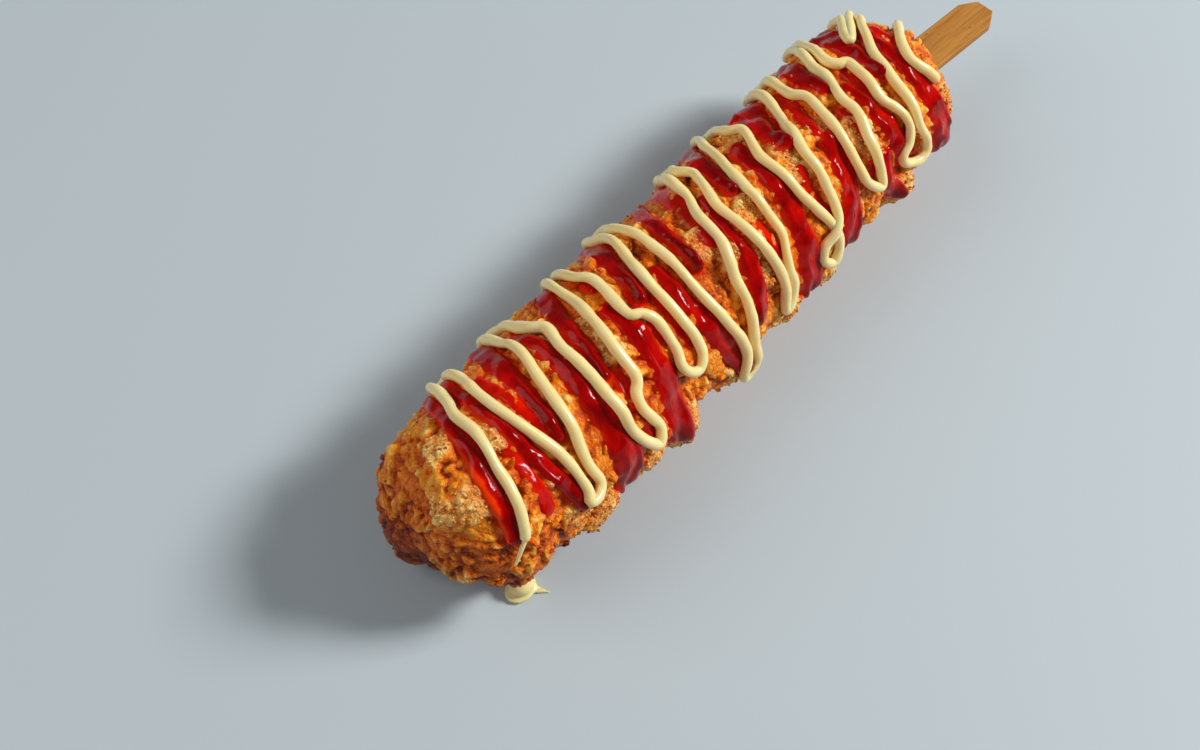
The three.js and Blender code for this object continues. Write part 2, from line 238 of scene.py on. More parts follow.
def radius_at(station):
    taper = TIP_RADIUS + (NECK_RADIUS - TIP_RADIUS) * station / BODY_LENGTH
    into_tip = np.clip(1 - station / TIP_CAP_LENGTH, 0, 1)
    into_neck = np.clip(1 - (BODY_LENGTH - station) / NECK_CAP_LENGTH, 0, 1)
    tip_cap = (1 - into_tip**TIP_CAP_POWER) ** (1 / TIP_CAP_POWER)
    neck_cap = (1 - into_neck**NECK_CAP_POWER) ** (1 / NECK_CAP_POWER)
    return taper * tip_cap * neck_cap


def body_profile(spacing):
    """Station and radius of the smooth body, one spacing apart along its outline."""
    turn = np.linspace(0, math.pi / 2, PROFILE_POINTS)
    tip = TIP_CAP_LENGTH * (1 - np.cos(turn) ** (2 / TIP_CAP_POWER))
    neck = BODY_LENGTH - NECK_CAP_LENGTH * (1 - np.cos(turn[::-1]) ** (2 / NECK_CAP_POWER))
    station = np.concatenate([tip, neck])
    rise = np.concatenate([np.sin(turn) ** (2 / TIP_CAP_POWER),
                           np.sin(turn[::-1]) ** (2 / NECK_CAP_POWER)])
    radius = rise * (TIP_RADIUS + (NECK_RADIUS - TIP_RADIUS) * station / BODY_LENGTH)
    length = np.concatenate([[0], np.cumsum(np.hypot(np.diff(station), np.diff(radius)))])
    even = np.linspace(0, length[-1], round(length[-1] / spacing) + 1)
    return np.interp(even, length, station), np.interp(even, length, radius)


def smooth_points(station, angle):
    radius = radius_at(station)
    x = station - MIDDLE
    y = -radius * np.sin(angle)
    z = AXIS_HEIGHT + radius * np.cos(angle)
    return np.stack([x, y, z], axis=-1)


def outward(points):
    """Away from the nearest point of the spine, which stops short of both caps."""
    spine = np.zeros_like(points)
    spine[..., 0] = np.clip(points[..., 0], TIP_CAP_LENGTH - MIDDLE, MIDDLE - NECK_CAP_LENGTH)
    spine[..., 2] = AXIS_HEIGHT
    away = points - spine
    return away / np.linalg.norm(away, axis=-1, keepdims=True)


# ---------------------------------------------------------------- noise

LOW_BITS = 0xFFFFFFFF
AXIS_PRIMES = (73856093, 19349663, 83492791)
SEED_PRIME = 2654435761
STIRS = ((15, 2246822519), (13, 3266489917))
LAST_SHIFT = 16
FAR = 99.0


def cell_random(cells, seed):
    """A number from 0 to 1 for each whole-number cell."""
    x, y, z = np.moveaxis(cells.astype(np.int64) & LOW_BITS, -1, 0)
    value = x * AXIS_PRIMES[0] ^ y * AXIS_PRIMES[1] ^ z * AXIS_PRIMES[2]
    value = (value ^ seed * SEED_PRIME) & LOW_BITS
    for shift, prime in STIRS:
        value = (value ^ value >> shift) * prime & LOW_BITS
    return (value ^ value >> LAST_SHIFT) / LOW_BITS


def soft_noise(points, size, seed):
    """Smooth noise from -1 to 1 whose bumps are about one size across."""
    scaled = points / size
    cells = np.floor(scaled)
    part = scaled - cells
    blend = part * part * (3 - 2 * part)
    total = 0
    for corner in np.ndindex(2, 2, 2):
        corner = np.array(corner)
        weight = np.prod(np.where(corner, blend, 1 - blend), axis=-1)
        total = total + weight * cell_random(cells + corner, seed)
    return 2 * total - 1


def layered_noise(points, size, seed, layers=3):
    """Soft noise with finer, fainter noise on top."""
    total = 0
    for layer in range(layers):
        total = total + soft_noise(points, size / 2**layer, seed + layer) / 2**layer
    return total


def cell_noise(points, size, seed):
    """Distance to the nearest and the second nearest scattered seed, and the nearest's number."""
    scaled = points / size
    cells = np.floor(scaled)
    nearest = np.full(points.shape[:-1], FAR)
    second = nearest.copy()
    number = np.zeros_like(nearest)
    for step in np.ndindex(3, 3, 3):
        cell = cells + np.array(step) - 1
        jitter = np.stack([cell_random(cell, seed + axis) for axis in (1, 2, 3)], axis=-1)
        away = np.linalg.norm(cell + jitter - scaled, axis=-1)
        closer = away < nearest
        second = np.where(closer, nearest, np.minimum(second, away))
        number = np.where(closer, cell_random(cell, seed), number)
        nearest = np.minimum(nearest, away)
    return nearest, second, number


# ---------------------------------------------------------------- relief of the crust

# Each kind of lump has its size along the crust and its height. Its level is the part of its
# height that lies under the smooth surface. Noise bends the outlines of them all.
BEND_SIZE = 7
BEND_REACH = 1.1
CHUNK_SIZE = 7.0
CHUNK_HEIGHT = 1.6
CHUNK_LEVEL = 0.2
CHUNK_EDGE = 0.15
NUGGET_SIZE = 2.7
NUGGET_HEIGHT = 1.5
NUGGET_LEVEL = 0.3
NUGGET_REACH = 0.9
NUGGET_CREASE = 0.3
PUFF_SIZE = 1.9
PUFF_HEIGHT = 0.85
PUFF_LEVEL = 0.5
PUFF_LAYERS = 2
PUFF_FADE = 0.6
LEAST_PUFF = 0.35

# How rough the crust is changes slowly along it, from the least to 1.
ROUGH_SIZE = 9
LEAST_ROUGH = 0.3

# Heaps lie in their own places, and in small patches where slow noise is over its limit.
HEAP_HEIGHT = 0.8
CLOD_SIZE = 2.2
CLOD_HEIGHT = 1.0
PATCH_SIZE = 11
PATCH_LIMIT = 0.75
RAGGED_SIZE = 3.2
RAGGED_PART = 0.3
HEAP_EDGE = 0.25


def scattered_bumps(kind, draw):
    bumps = []
    for _ in range(kind["count"]):
        station, angle = next(draw) * BODY_LENGTH, next(draw) * 2 * math.pi
        low, high = kind["reach"]
        reach = low + next(draw) * (high - low)
        low, high = kind["height"]
        height = low + next(draw) * (high - low)
        bumps.append((smooth_points(station, angle), reach, height))
    return bumps


def placed_bumps(rows):
    return [(smooth_points(row[0], math.radians(row[1])), *row[2:]) for row in rows]


def bump_height(bump, points):
    centre, reach, height = bump
    near = 1 - np.sum((points - centre) ** 2, axis=-1) / reach**2
    return height * np.maximum(near, 0)


def eased(value):
    value = np.clip(value, 0, 1)
    return value * value * (3 - 2 * value)


RELIEF_DRAW = make_draw(RELIEF_SEED)
SCATTERED = scattered_bumps(KNOBS, RELIEF_DRAW) + scattered_bumps(CRAGS, RELIEF_DRAW)
PLACED = placed_bumps(LUMPS)
HEAP_CENTRES = placed_bumps(HEAPS)


def main_height(points, angle):
    """The relief that the solids have too, without the ketchup."""
    height = SWELL_HEIGHT * np.sin(2 * math.pi * points[..., 0] / SWELL_LENGTH + 2 * angle)
    highest = np.zeros_like(height)
    for bump in SCATTERED:
        highest = np.maximum(highest, bump_height(bump, points))
    for bump in PLACED:
        height = height + bump_height(bump, points)
    return height + highest


def crumb_mask(points):
    """1 in a heap of crumbs, 0 on bare crust, with a ragged edge between."""
    inside = soft_noise(points, PATCH_SIZE, SEEDS["patches"]) - PATCH_LIMIT
    for centre, radius in HEAP_CENTRES:
        away = np.linalg.norm(points - centre, axis=-1)
        inside = np.maximum(inside, 1 - away / radius)
    ragged = layered_noise(points, RAGGED_SIZE, SEEDS["heap edges"])
    return eased((inside + RAGGED_PART * ragged) / HEAP_EDGE)


def puffs(points, size, seed):
    """Puffy lumps with sharp creases between them, and finer ones on top."""
    total = 0
    for layer in range(PUFF_LAYERS):
        total = total + np.abs(soft_noise(points, size / 2**layer, seed + layer)) * PUFF_FADE**layer
    return total


def nuggets(points, size, seed):
    """Round-topped nuggets of random heights with creases between, from 0 to 1."""
    nearest, second, number = cell_noise(points, size, seed)
    top = np.sqrt(np.clip(1 - (nearest / NUGGET_REACH) ** 2, 0, 1))
    return number * top * eased((second - nearest) / NUGGET_CREASE)


def crust_detail(points):
    """Height of the broken chunks, nuggets, puffs and heaps."""
    bend = [layered_noise(points, BEND_SIZE, seed) for seed in SEEDS["bend"]]
    bent = points + BEND_REACH * np.stack(bend, axis=-1)
    nearest, second, number = cell_noise(bent, CHUNK_SIZE, SEEDS["chunks"])
    chunks = CHUNK_HEIGHT * (number * eased((second - nearest) / CHUNK_EDGE) - CHUNK_LEVEL)
    rough = eased(soft_noise(points, ROUGH_SIZE, SEEDS["rough"]) + 0.5)
    rough = LEAST_ROUGH + (1 - LEAST_ROUGH) * rough
    lumps = NUGGET_HEIGHT * rough * (nuggets(bent, NUGGET_SIZE, SEEDS["nuggets"]) - NUGGET_LEVEL)
    puff_height = PUFF_HEIGHT * (LEAST_PUFF + (1 - LEAST_PUFF) * rough)
    fine = puff_height * (puffs(bent, PUFF_SIZE, SEEDS["puffs"]) - PUFF_LEVEL)
    crumbs = crumb_mask(points)
    clods = HEAP_HEIGHT + CLOD_HEIGHT * nuggets(bent, CLOD_SIZE, SEEDS["clods"])
    return (1 - crumbs) * (chunks + lumps) + crumbs * clods + fine


def angles_of(points):
    return np.arctan2(-points[..., 1], points[..., 2] - AXIS_HEIGHT)


# ---------------------------------------------------------------- map of the relief

MAP_STEP = 0.5
MAP_STATIONS = body_profile(MAP_STEP)[0]
MAP_SIDES = 296
BLUR_REACH = 2.5

# In steps of the map: ketchup lies on the crust's blurred level, mayonnaise on its tops.
LEVEL_BLUR = 3
TOP_REACH = 3
TOP_BLUR = 2
SHORT_OF_LAST = 0.001


def relief_map():
    """The crust's height at every step along and round the body."""
    angle = np.arange(MAP_SIDES) * 2 * math.pi / MAP_SIDES
    station, angle = np.meshgrid(MAP_STATIONS, angle, indexing="ij")
    points = smooth_points(station, angle)
    return main_height(points, angle) + crust_detail(points)


def shifted(field, along, around):
    """The map moved by whole steps; it wraps round the body and stops at its ends."""
    rows = np.clip(np.arange(field.shape[0]) - along, 0, field.shape[0] - 1)
    return np.roll(field[rows], around, axis=1)


def blurred(field, spread):
    reach = math.ceil(BLUR_REACH * spread)
    weights = {step: math.exp(-0.5 * (step / spread) ** 2) for step in range(-reach, reach + 1)}
    total = sum(weights.values())
    field = sum(weight * shifted(field, step, 0) for step, weight in weights.items()) / total
    return sum(weight * shifted(field, 0, step) for step, weight in weights.items()) / total


def widened(field, reach):
    """The highest value within a reach of whole steps."""
    steps = range(-reach, reach + 1)
    pairs = [(a, b) for a in steps for b in steps if a * a + b * b <= reach * reach + 1]
    return np.max([shifted(field, *pair) for pair in pairs], axis=0)


def sampled(field, station, angle):
    """The map's value between its steps."""
    rows = np.arange(len(MAP_STATIONS))
    row = np.clip(np.interp(station, MAP_STATIONS, rows), 0, rows[-1] - SHORT_OF_LAST)
    column = np.mod(angle, 2 * math.pi) * MAP_SIDES / (2 * math.pi)
    top, left = np.floor(row).astype(int), np.floor(column).astype(int)
    down, across = row - top, column - left
    left, right = left % MAP_SIDES, (left + 1) % MAP_SIDES
    upper = field[top, left] * (1 - across) + field[top, right] * across
    lower = field[top + 1, left] * (1 - across) + field[top + 1, right] * across
    return upper * (1 - down) + lower * down


# ---------------------------------------------------------------- mesh helpers

def to_object(name, bm, smooth=True):
    """A mesh object in metres from a bmesh in millimetres."""
    mesh = bpy.data.meshes.new(name)
    bmesh.ops.scale(bm, vec=(MM, MM, MM), verts=bm.verts)
    bm.to_mesh(mesh)
    bm.free()
    piece = bpy.data.objects.new(name, mesh)
    bpy.context.scene.collection.objects.link(piece)
    mesh.shade_smooth() if smooth else mesh.shade_flat()
    return piece


def points_of(piece):
    flat = np.empty(3 * len(piece.data.vertices), dtype=np.float64)
    piece.data.vertices.foreach_get("co", flat)
    return flat.reshape(-1, 3) / MM


def set_points(piece, points):
    piece.data.vertices.foreach_set("co", (points * MM).ravel())
    piece.data.update()


def paint(piece, name, values):
    """A number for each point of the mesh, which the materials read by its name."""
    layer = piece.data.attributes.new(name, "FLOAT", "POINT")
    layer.data.foreach_set("value", np.asarray(values, dtype=np.float32))


FINE_HALF = math.radians(112)
COARSER = 2.1
SAME_POINT = 0.01


def skin_angles(step):
    """Angles round the body, close together on the upper side and wider apart below."""
    fine = round(2 * FINE_HALF * TIP_RADIUS / step)
    below = round((2 * math.pi - 2 * FINE_HALF) * TIP_RADIUS / (step * COARSER))
    upper = np.linspace(-FINE_HALF, FINE_HALF, fine, endpoint=False)
    lower = np.linspace(FINE_HALF, 2 * math.pi - FINE_HALF, below + 1)
    return np.concatenate([upper, lower])


def body_skin(spacing, step):
    """The smooth body: a grid wrapped round the axis and closed at its seam and both ends."""
    stations, radii = body_profile(spacing)
    angles = skin_angles(step)
    bm = bmesh.new()
    bmesh.ops.create_grid(bm, x_segments=len(stations) - 1, y_segments=len(angles) - 1, size=1)
    for corner in bm.verts:
        row = round((corner.co.x + 1) / 2 * (len(stations) - 1))
        column = round((corner.co.y + 1) / 2 * (len(angles) - 1))
        radius, angle = radii[row], angles[column]
        corner.co = (stations[row] - MIDDLE, -radius * math.sin(angle),
                     AXIS_HEIGHT + radius * math.cos(angle))
    bmesh.ops.remove_doubles(bm, verts=bm.verts, dist=SAME_POINT)
    bmesh.ops.recalc_face_normals(bm, faces=bm.faces)
    return bm


# ---------------------------------------------------------------- ketchup

def streak_place(streak, station, angle):
    """Distance from a streak's middle line in half widths, along it, across it and half width."""
    (back, middle, front), angles, (first, last) = streak
    back_angle, front_angle = (math.radians(value) for value in angles)
    along = (angle - back_angle) / (front_angle - back_angle)
    within = np.clip(along, 0, 1)
    bow = 2 * middle - (back + front) / 2
    centre = (1 - within) ** 2 * back + 2 * within * (1 - within) * bow + within**2 * front
    beyond = (along - within) * (front_angle - back_angle) * TIP_RADIUS
    half_width = (first + (last - first) * within) / 2
    across = station - centre
    return np.hypot(across, beyond) / half_width, within, across, half_width


def ketchup_away(points, angle):
    """How far a place is outside the nearest ketchup, in millimetres; below 0 inside it."""
    station = points[..., 0] + MIDDLE
    nearest = np.full(station.shape, FAR)
    for streak in KETCHUP_STREAKS + KETCHUP_FILMS:
        away, _, _, half_width = streak_place(streak, station, angle)
        nearest = np.minimum(nearest, (away - 1) * half_width)
    return nearest


KETCHUP_SPACING = 0.5
KETCHUP_RAGGED_SIZE = 5
KETCHUP_RAGGED_PART = 0.2
CLUMP_SIZE = 3
CLUMP_PART = 0.24
RIDGE_SIZE = (1.5, 8)
RIDGE_PART = 0.42
DOME_POWER = 2.6
EDGE_SLOPE = 1.6
DEEPEST = 1.8
END_SWELL = 0.8
END_SWELL_POWER = 4

# Over the highest crags the ketchup is a thin coat, or none where noise says so.
COAT_SIZE = 6
COAT_HEIGHT = 0.14
COAT_CHANGE = 0.4
COAT_PART = 0.5
COAT_BLUR = 1.2

# The sheet's thickness, how deep it is sunk where it is cut off, and its height off the floor.
KETCHUP_SHEET = 0.6
CUT_DEPTH = 0.9
KETCHUP_LOWEST = 0.7


def ketchup_depth(points, angle):
    """The ketchup's thickness, with ridges drawn out along each streak; below 0 it is sunk."""
    station = points[..., 0] + MIDDLE
    ragged = KETCHUP_RAGGED_PART * layered_noise(points, KETCHUP_RAGGED_SIZE, SEEDS["ketchup edges"])
    clumps = soft_noise(points, CLUMP_SIZE, SEEDS["ketchup clumps"])
    depth = np.full(station.shape, -DEEPEST)
    for streak in KETCHUP_STREAKS + KETCHUP_FILMS:
        away, along, across, half_width = streak_place(streak, station, angle)
        away = away + ragged
        full = FILM_HEIGHT if streak in KETCHUP_FILMS else KETCHUP_HEIGHT
        wide, long = RIDGE_SIZE
        layer = np.full(away.shape, full)
        drawn = np.stack([across / wide, angle * TIP_RADIUS / long, layer], axis=-1)
        drawn_out = soft_noise(drawn, 1, SEEDS["ketchup ridges"])
        ridges = 1 + RIDGE_PART * drawn_out + CLUMP_PART * clumps
        dome = np.sqrt(np.clip(1 - np.clip(away, 0, 1) ** DOME_POWER, 0, 1))
        outside = EDGE_SLOPE * np.clip(away - 1, 0, None) * half_width
        here = full * (1 + END_SWELL * along**END_SWELL_POWER) * dome * ridges - outside
        depth = np.maximum(depth, here)
    return depth


def dressed_ketchup(crust_map, level_map):
    """Glossy ridges that fill the crust's hollows; the highest crags are coated or poke out."""
    skin = body_skin(KETCHUP_SPACING, KETCHUP_SPACING)
    corners = np.array([corner.co for corner in skin.verts])
    angle = angles_of(corners)
    station = corners[:, 0] + MIDDLE
    depth = ketchup_depth(corners, angle)
    level = sampled(level_map, station, angle) + depth
    coat = COAT_HEIGHT + COAT_CHANGE * soft_noise(corners, COAT_SIZE, SEEDS["ketchup coat"])
    coat = np.minimum(coat, COAT_PART * depth)
    coated = sampled(blurred(crust_map, COAT_BLUR), station, angle) + coat
    level = np.where(depth > 0, np.maximum(level, coated), level)
    raised = corners + outward(corners) * level[:, None]
    raised[:, 2] = np.maximum(raised[:, 2], KETCHUP_LOWEST)
    for corner, place in zip(skin.verts, raised):
        corner.co = place
    skin.verts.index_update()
    hidden = depth < -CUT_DEPTH
    sunk = [face for face in skin.faces if all(hidden[corner.index] for corner in face.verts)]
    bmesh.ops.delete(skin, geom=sunk, context="FACES")
    bmesh.ops.solidify(skin, geom=skin.faces, thickness=KETCHUP_SHEET)
    bmesh.ops.recalc_face_normals(skin, faces=skin.faces)
    ketchup = to_object("ketchup", skin)
    corners = points_of(ketchup)
    paint(ketchup, "depth", ketchup_depth(corners, angles_of(corners)))
    return ketchup


# ---------------------------------------------------------------- mayonnaise

MAYO_STEP = 0.7
MAYO_SINK = 0.45
MAYO_WOBBLE = 0.25
WOBBLE_SIZE = 8
FUSED_LENGTH = 21.0
CURVE_STEPS = 24
LEVEL_REACH = 3
CLIMB_REACH = 4
SWELLING = (7, 0.16)
RIPPLES = (2.5, 0.03)
LEAST_END = 0.02
TUBE_SIDE_STEPS = 5


def catmull_rom(places):
    """Points on a smooth curve through the places."""
    places = np.array(places, dtype=float)
    ends = np.concatenate([[2 * places[0] - places[1]], places, [2 * places[-1] - places[-2]]])
    part = np.linspace(0, 1, CURVE_STEPS, endpoint=False)[:, None]
    curve = []
    for before, start, end, after in zip(ends, ends[1:], ends[2:], ends[3:]):
        square, cube = part**2, part**3
        curve.append(0.5 * (2 * start + (end - before) * part
                            + (2 * before - 5 * start + 4 * end - after) * square
                            + (3 * start - before - 3 * end + after) * cube))
    return np.concatenate([*curve, places[-1:]])


def evenly(places, positions, step):
    """The places again, one step apart along the positions that they stand for."""
    gaps = np.linalg.norm(np.diff(positions, axis=0), axis=1)
    length = np.concatenate([[0], np.cumsum(gaps)])
    even = np.linspace(0, length[-1], round(length[-1] / step) + 1)
    return np.stack([np.interp(even, length, column) for column in places.T], axis=-1)


def run_average(values, reach):
    """Each value averaged with its neighbours on the line."""
    padded = np.pad(values, reach, mode="edge")
    return np.convolve(padded, np.ones(2 * reach + 1) / (2 * reach + 1), mode="valid")


def laid_route(places, top_map, radius, wobble=0.0):
    """A line of sauce laid over the relief, as its middle points. It bridges the hollows and
    climbs over its earlier parts, but fuses with what was laid just before."""
    route = catmull_rom([(station, math.radians(angle)) for station, angle in places])
    rough = smooth_points(route[:, 0], route[:, 1])
    route = evenly(route, rough, MAYO_STEP)
    station, angle = route.T
    base = smooth_points(station, angle)
    station = station + wobble * layered_noise(base, WOBBLE_SIZE, SEEDS["strand wobble"], 2)
    base = smooth_points(station, angle)
    level = run_average(sampled(top_map, station, angle), LEVEL_REACH)
    raised = np.zeros(len(base))
    for index in range(len(base)):
        earlier = base[: max(0, index - round(FUSED_LENGTH / MAYO_STEP))]
        if len(earlier):
            nearest = np.linalg.norm(earlier - base[index], axis=1).min()
            raised[index] = max(0, 2 * radius - nearest)
    level = level + run_average(raised, CLIMB_REACH) + radius - MAYO_SINK
    return base + outward(base) * level[:, None]


def tube(points, radii):
    """A round tube with closed ends along the points."""
    curve = bpy.data.curves.new("route", "CURVE")
    curve.dimensions = "3D"
    curve.bevel_depth = MM
    curve.bevel_resolution = TUBE_SIDE_STEPS
    curve.use_fill_caps = True
    spline = curve.splines.new("POLY")
    spline.points.add(len(points) - 1)
    homogeneous = np.column_stack([points * MM, np.ones(len(points))])
    spline.points.foreach_set("co", homogeneous.ravel())
    spline.points.foreach_set("radius", radii)
    holder = bpy.data.objects.new("route", curve)
    bpy.context.scene.collection.objects.link(holder)
    bpy.context.view_layer.update()
    mesh = bpy.data.meshes.new_from_object(holder)
    bpy.data.objects.remove(holder)
    bpy.data.curves.remove(curve)
    bm = bmesh.new()
    bm.from_mesh(mesh)
    bpy.data.meshes.remove(mesh)
    bmesh.ops.scale(bm, vec=(1 / MM, 1 / MM, 1 / MM), verts=bm.verts)
    bmesh.ops.recalc_face_normals(bm, faces=bm.faces)
    return bm


def rounded_ends(count, radius):
    """Radii that close each end of a line like half a ball."""
    from_end = np.minimum(np.arange(count), np.arange(count)[::-1]) * MAYO_STEP / radius
    return radius * np.sqrt(np.clip(1 - (1 - np.clip(from_end, 0, 1)) ** 2, LEAST_END, 1))


def dressed_mayonnaise(top_map):
    points = laid_route(sum(MAYO_LINE, []), top_map, MAYO_RADIUS, MAYO_WOBBLE)
    size, part = SWELLING
    swelling = 1 + part * layered_noise(points, size, SEEDS["strand swelling"])
    size, part = RIPPLES
    swelling = swelling + part * soft_noise(points, size, SEEDS["strand ripples"])
    return to_object("mayonnaise", tube(points, rounded_ends(len(points), MAYO_RADIUS) * swelling))


# ---------------------------------------------------------------- crust

CRUST_SPACING = 0.58
CRUST_STEP = 0.5
CREST_HEIGHT = 0.9
SMEAR_WIDTH = 2
SMEAR_RAGGED_SIZE = 7
SMEAR_RAGGED_REACH = 1.2


def paint_crust(piece, base, crest):
    """What the crust's material reads: crests and hollows, which give painted light on the crests and
    painted shade in the hollows, heaps, and smears of ketchup.
    """
    ragged = SMEAR_RAGGED_REACH * layered_noise(base, SMEAR_RAGGED_SIZE, SEEDS["smears"])
    smear = ketchup_away(base, angles_of(base)) + ragged
    paint(piece, "crest", np.clip(crest, -1, 1))
    paint(piece, "crumbs", crumb_mask(base))
    paint(piece, "smear", eased(1 - smear / SMEAR_WIDTH))


def dressed_crust(crust_map, level_map):
    crust = to_object("crust", body_skin(CRUST_SPACING, CRUST_STEP))
    base = points_of(crust)
    angle = angles_of(base)
    station = base[:, 0] + MIDDLE
    level = sampled(crust_map, station, angle)
    points = base + outward(base) * level[:, None]
    points[:, 2] = np.maximum(points[:, 2], 0)
    set_points(crust, points)
    paint_crust(crust, base, (level - sampled(level_map, station, angle)) / CREST_HEIGHT)
    return crust


# ---------------------------------------------------------------- crags and loose crumbs

# Sizes are half lengths along a lump's own three axes. Sunk is how far its middle lies
# under the crust, and lowest is how far it has to be off the floor.
CRAG_TRIES = 1500
CRAG_CHANCE = 0.3
CRAG_EDGE_CHANCE = 1.6
CRAG_SIZES = ((0.9, 0.7, 0.4), (2.2, 1.5, 0.9))
CRAG_SUNK = 0.35
CRAG_LUMPS = {"lowest": 1.5, "fineness": 2, "dent": 0.26}
CRAG_CRESTS = (-0.5, 0.7)
CRUMB_TRIES = 80000
CRUMB_CHANCE = 0.04
CRUMB_HEAP_CHANCE = 0.6
CRUMB_SIZES = (0.18, 0.46)
CRUMB_STRETCH = (0.6, 1.3)
CRUMB_LEVELS = (-0.28, 0.1)
CRUMB_LUMPS = {"lowest": 0.8, "fineness": 1, "dent": 0.25}
SCATTER_STATIONS = (2.5, BODY_LENGTH - 1.0)
KETCHUP_OVERLAP = 0.4


def scattered(name, base, level, sizes, draw, lowest, fineness, dent):
    """Many small dented lumps over the crust as one mesh, each stretched along its own three
    axes. It gives back the piece, the places under its lumps and the points in each lump."""
    places = base + outward(base) * level[:, None]
    above = places[:, 2] > lowest
    base, places, sizes = base[above], places[above], sizes[above]
    pattern = bmesh.new()
    bmesh.ops.create_icosphere(pattern, subdivisions=fineness, radius=1)
    corners = np.array([corner.co for corner in pattern.verts])
    faces = np.array([[corner.index for corner in face.verts] for face in pattern.faces])
    pattern.free()
    count = len(places)
    turns = np.array([Matrix.Rotation(turn, 3, axis) for turn, axis in
                      zip(draw.uniform(0, 2 * math.pi, count),
                          [Vector(axis).normalized() for axis in draw.normal(0, 1, (count, 3))])])
    lumps = corners[None] * draw.uniform(1 - dent, 1 + dent, (count, len(corners), 1))
    lumps = np.einsum("nij,nkj->nki", turns, lumps * sizes[:, None, :])
    points = places[:, None, :] + lumps
    points[..., 2] = np.maximum(points[..., 2], 0)
    links = faces[None] + (np.arange(count) * len(corners))[:, None, None]
    mesh = bpy.data.meshes.new(name)
    mesh.from_pydata(points.reshape(-1, 3) * MM, [], links.reshape(-1, 3))
    mesh.update()
    mesh.shade_smooth()
    piece = bpy.data.objects.new(name, mesh)
    bpy.context.scene.collection.objects.link(piece)
    paint(piece, "tint", draw.uniform(0, 1, count).repeat(len(corners)))
    return piece, base, len(corners)


def crust_places(crust_map, tries, draw, chance):
    """Random places on the body, kept by a chance that depends on the crumbs and ketchup, and
    the crust's height over each."""
    station = draw.uniform(*SCATTER_STATIONS, tries)
    angle = draw.uniform(-math.pi, math.pi, tries)
    base = smooth_points(station, angle)
    bare = ketchup_away(base, angle) > -KETCHUP_OVERLAP
    kept = draw.uniform(0, 1, tries) < chance(crumb_mask(base)) * bare
    return base[kept], sampled(crust_map, station[kept], angle[kept])


def dressed_crags(crust_map):
    """Ragged crags that overhang the crust, most of them round the edges of the heaps."""
    draw = np.random.default_rng(SEEDS["crags"])
    base, level = crust_places(
        crust_map, CRAG_TRIES, draw,
        lambda mask: CRAG_CHANCE + CRAG_EDGE_CHANCE * mask * (1 - mask))
    sizes = draw.uniform(*CRAG_SIZES, (len(base), 3))
    crags, base, corners = scattered("crags", base, level - CRAG_SUNK, sizes, draw, **CRAG_LUMPS)
    crests = draw.uniform(*CRAG_CRESTS, len(base))
    paint_crust(crags, base.repeat(corners, axis=0), crests.repeat(corners))
    return crags


def dressed_crumbs(crust_map):
    """Small grains of crumb, thick on the heaps and thin elsewhere."""
    draw = np.random.default_rng(SEEDS["crumbs"])
    base, level = crust_places(
        crust_map, CRUMB_TRIES, draw, lambda mask: CRUMB_CHANCE + CRUMB_HEAP_CHANCE * mask)
    size = draw.uniform(*CRUMB_SIZES, (len(base), 1))
    sizes = size * draw.uniform(*CRUMB_STRETCH, (len(base), 3))
    level = level + draw.uniform(*CRUMB_LEVELS, len(base))
    crumbs, base, corners = scattered("crumbs", base, level, sizes, draw, **CRUMB_LUMPS)
    paint(crumbs, "crumbs", crumb_mask(base).repeat(corners))
    return crumbs


# ---------------------------------------------------------------- stick

STICK_WIDTH = 12.2
STICK_THICKNESS = 2.6
STICK_CORNER = (5.4, 3.2)
STICK_YAW = math.radians(-6.2)
STICK_END = (140.2, -6.0)
STICK_TOP = 24.0
STICK_LENGTH = 150.0
STICK_EDGE = 0.45
STICK_EDGE_STEPS = 3


def dressed_stick():
    half = STICK_WIDTH / 2
    along, across = STICK_CORNER
    front = [(-STICK_LENGTH, -half), (-along, -half), (0, across - half)]
    back = [(x, -y) for x, y in reversed(front)]
    bm = bmesh.new()
    corners = [bm.verts.new((x, y, -STICK_THICKNESS)) for x, y in front + back]
    grown = bmesh.ops.extrude_face_region(bm, geom=[bm.faces.new(corners)])["geom"]
    upper = [item for item in grown if isinstance(item, bmesh.types.BMVert)]
    bmesh.ops.translate(bm, vec=(0, 0, STICK_THICKNESS), verts=upper)
    bmesh.ops.recalc_face_normals(bm, faces=bm.faces)
    bmesh.ops.bevel(bm, geom=bm.edges, offset=STICK_EDGE, affect="EDGES",
                    segments=STICK_EDGE_STEPS, profile=0.5, material=-1)
    place = Matrix.Translation((*STICK_END, STICK_TOP)) @ Matrix.Rotation(STICK_YAW, 4, "Z")
    bmesh.ops.transform(bm, matrix=place, verts=bm.verts)
    return to_object("stick_wood", bm, smooth=False)


# ---------------------------------------------------------------- drop at the tip's foot

DROP_CENTRE = (-87.4, -17.2)
DROP_SIZE = (7.2, 7.0, 5.6)
PUDDLE_CENTRE = (-88.0, -17.5)
PUDDLE_SIZE = (9.2, 7.4, 1.7)
TAIL_STEPS = 9
TAIL_END = (-84.0, -23.6)
TAIL_WIDTHS = (4.2, 0.7)
TAIL_HEIGHT = 1.3
TAIL_FLATTENING = 0.6
TRAIL_RADIUS = 0.85
TRAIL_THINNING = 0.5
TRAIL_ROUTE = [(15.2, 55), (14, 60), (12.4, 65), (10.9, 70.5), (9.4, 76)]
BALL_SIDES = 24
DROP_VOXEL = 0.3
DROP_SMOOTHING = 6


def ball(bm, centre, size):
    made = bmesh.ops.create_uvsphere(bm, u_segments=BALL_SIDES, v_segments=BALL_SIDES // 2, radius=0.5)
    place = Matrix.Translation(centre) @ Matrix.Diagonal((*size, 1))
    bmesh.ops.transform(bm, matrix=place, verts=made["verts"])


